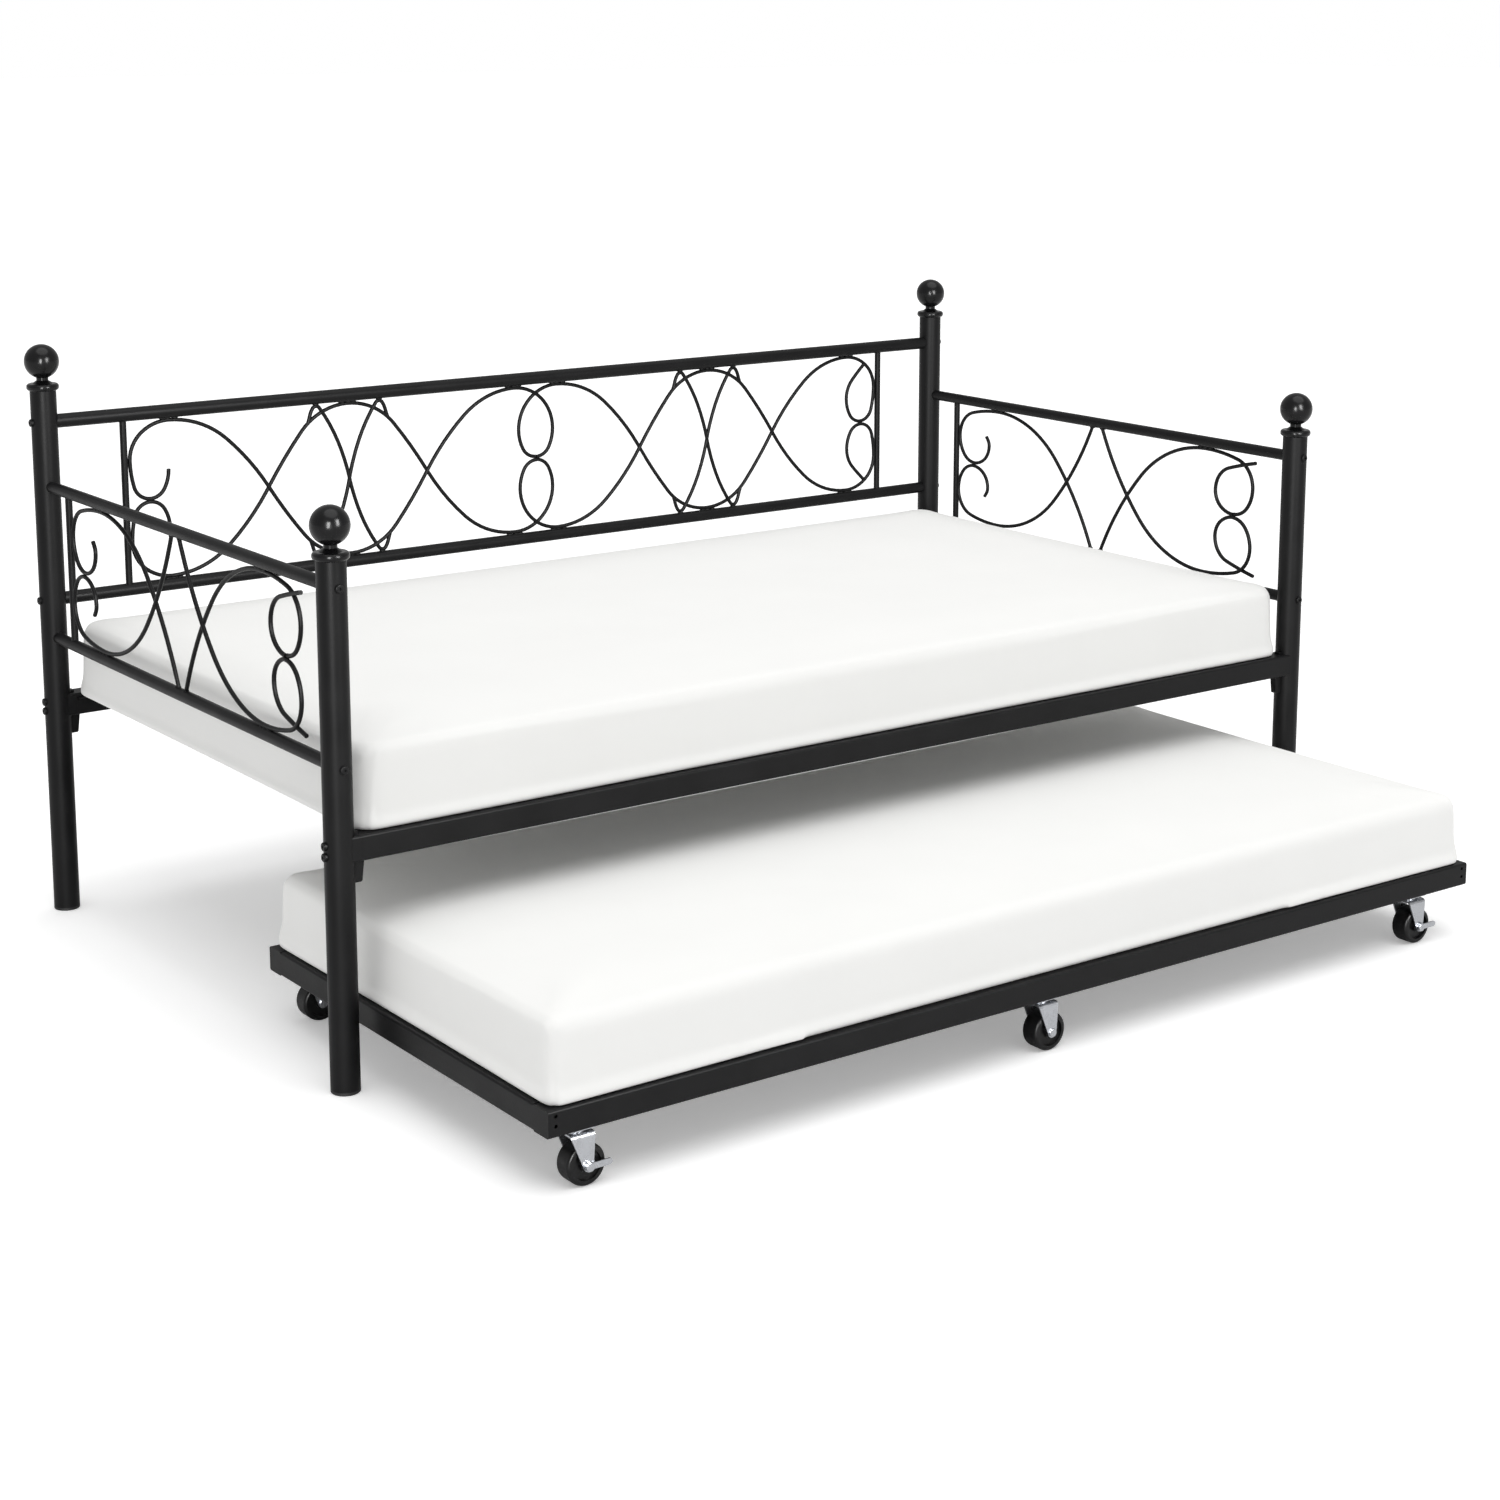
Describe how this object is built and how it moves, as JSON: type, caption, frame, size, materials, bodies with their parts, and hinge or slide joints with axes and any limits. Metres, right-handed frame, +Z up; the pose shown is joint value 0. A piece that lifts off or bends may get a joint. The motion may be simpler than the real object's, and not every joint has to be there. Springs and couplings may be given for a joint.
{
  "type": "trundle bed",
  "caption": "Black metal daybed with ball finials and scroll panels on the back and sides, a slatted base, and a low trundle on swivel casters that rolls out in front; both carry a mattress.",
  "frame": {"origin": "on the floor at the middle of the part's box, with the trundle pulled out as in the picture", "axes": "+X along the bed to the right seen from the front, -Y to the front where the trundle rolls out, +Z up"},
  "size_m": [1.998, 1.552, 0.987],
  "materials": {
    "black_powder_coat": "satin",
    "zinc_plate": "satin",
    "wheel_plastic": "satin",
    "glide_plastic": "matte",
    "mattress_cover": "matte"
  },
  "bodies": {
    "daybed": {"back_bars": "black_powder_coat", "back_bottom_rail": "black_powder_coat", "back_left_finial": "black_powder_coat", "back_left_post": "black_powder_coat", "back_rail": "black_powder_coat", "back_right_finial": "black_powder_coat", "back_right_post": "black_powder_coat", "back_scrollwork": "black_powder_coat", "back_top_rail": "black_powder_coat", "bed_mattress": "mattress_cover", "bed_slats": "black_powder_coat", "foot_glides": "glide_plastic", "front_left_finial": "black_powder_coat", "front_left_post": "black_powder_coat", "front_rail": "black_powder_coat", "front_right_finial": "black_powder_coat", "front_right_post": "black_powder_coat", "left_bar": "black_powder_coat", "left_bottom_rail": "black_powder_coat", "left_scrollwork": "black_powder_coat", "left_top_rail": "black_powder_coat", "panel_bolts": "black_powder_coat", "post_collars": "black_powder_coat", "rail_bolts": "black_powder_coat", "rail_brackets": "black_powder_coat", "right_bar": "black_powder_coat", "right_bottom_rail": "black_powder_coat", "right_scrollwork": "black_powder_coat", "right_top_rail": "black_powder_coat"},
    "trundle": {"trundle_front_rail": "black_powder_coat", "trundle_back_rail": "black_powder_coat", "trundle_left_rail": "black_powder_coat", "trundle_right_rail": "black_powder_coat", "trundle_slats": "black_powder_coat", "corner_screws": "zinc_plate", "caster_plates": "zinc_plate", "plate_bolts": "zinc_plate", "kingpins": "zinc_plate", "trundle_mattress": "mattress_cover"},
    "front_left_caster": {"front_left_fork": "zinc_plate", "front_left_axle": "zinc_plate"},
    "front_left_roller": {"front_left_wheel": "wheel_plastic"},
    "front_left_brake": {"front_left_brake_lever": "zinc_plate"},
    "front_middle_caster": {"front_middle_fork": "zinc_plate", "front_middle_axle": "zinc_plate"},
    "front_middle_roller": {"front_middle_wheel": "wheel_plastic"},
    "front_right_caster": {"front_right_fork": "zinc_plate", "front_right_axle": "zinc_plate"},
    "front_right_roller": {"front_right_wheel": "wheel_plastic"},
    "front_right_brake": {"front_right_brake_lever": "zinc_plate"},
    "back_left_caster": {"back_left_fork": "zinc_plate", "back_left_axle": "zinc_plate"},
    "back_left_roller": {"back_left_wheel": "wheel_plastic"},
    "back_middle_caster": {"back_middle_fork": "zinc_plate", "back_middle_axle": "zinc_plate"},
    "back_middle_roller": {"back_middle_wheel": "wheel_plastic"},
    "back_right_caster": {"back_right_fork": "zinc_plate", "back_right_axle": "zinc_plate"},
    "back_right_roller": {"back_right_wheel": "wheel_plastic"}
  },
  "joints": [
    {"name": "trundle_slide", "type": "slide", "parent": "daybed", "child": "trundle", "axis": [0, -1, 0], "range_m": [-0.474, 0.36]},
    {"name": "front_left_swivel", "type": "hinge", "parent": "trundle", "child": "front_left_caster", "pos_m": [-0.8735, -0.75, 0.07], "axis": [0, 0, 1], "continuous": true},
    {"name": "front_left_spin", "type": "hinge", "parent": "front_left_caster", "child": "front_left_roller", "pos_m": [-0.8655, -0.75, 0.03], "axis": [0, 1, 0], "continuous": true},
    {"name": "front_left_brake_press", "type": "hinge", "parent": "front_left_caster", "child": "front_left_brake", "pos_m": [-0.8655, -0.75, 0.03], "axis": [0, 1, 0], "range_deg": [0, 30]},
    {"name": "front_middle_swivel", "type": "hinge", "parent": "trundle", "child": "front_middle_caster", "pos_m": [-0.048, -0.75, 0.07], "axis": [0, 0, 1], "continuous": true},
    {"name": "front_middle_spin", "type": "hinge", "parent": "front_middle_caster", "child": "front_middle_roller", "pos_m": [-0.04, -0.75, 0.03], "axis": [0, 1, 0], "continuous": true},
    {"name": "front_right_swivel", "type": "hinge", "parent": "trundle", "child": "front_right_caster", "pos_m": [0.7775, -0.75, 0.07], "axis": [0, 0, 1], "continuous": true},
    {"name": "front_right_spin", "type": "hinge", "parent": "front_right_caster", "child": "front_right_roller", "pos_m": [0.7855, -0.75, 0.03], "axis": [0, 1, 0], "continuous": true},
    {"name": "front_right_brake_press", "type": "hinge", "parent": "front_right_caster", "child": "front_right_brake", "pos_m": [0.7855, -0.75, 0.03], "axis": [0, 1, 0], "range_deg": [0, 30]},
    {"name": "back_left_swivel", "type": "hinge", "parent": "trundle", "child": "back_left_caster", "pos_m": [-0.8735, 0.006, 0.07], "axis": [0, 0, 1], "continuous": true},
    {"name": "back_left_spin", "type": "hinge", "parent": "back_left_caster", "child": "back_left_roller", "pos_m": [-0.8655, 0.006, 0.03], "axis": [0, 1, 0], "continuous": true},
    {"name": "back_middle_swivel", "type": "hinge", "parent": "trundle", "child": "back_middle_caster", "pos_m": [-0.048, 0.006, 0.07], "axis": [0, 0, 1], "continuous": true},
    {"name": "back_middle_spin", "type": "hinge", "parent": "back_middle_caster", "child": "back_middle_roller", "pos_m": [-0.04, 0.006, 0.03], "axis": [0, 1, 0], "continuous": true},
    {"name": "back_right_swivel", "type": "hinge", "parent": "trundle", "child": "back_right_caster", "pos_m": [0.7775, 0.006, 0.07], "axis": [0, 0, 1], "continuous": true},
    {"name": "back_right_spin", "type": "hinge", "parent": "back_right_caster", "child": "back_right_roller", "pos_m": [0.7855, 0.006, 0.03], "axis": [0, 1, 0], "continuous": true}
  ]
}
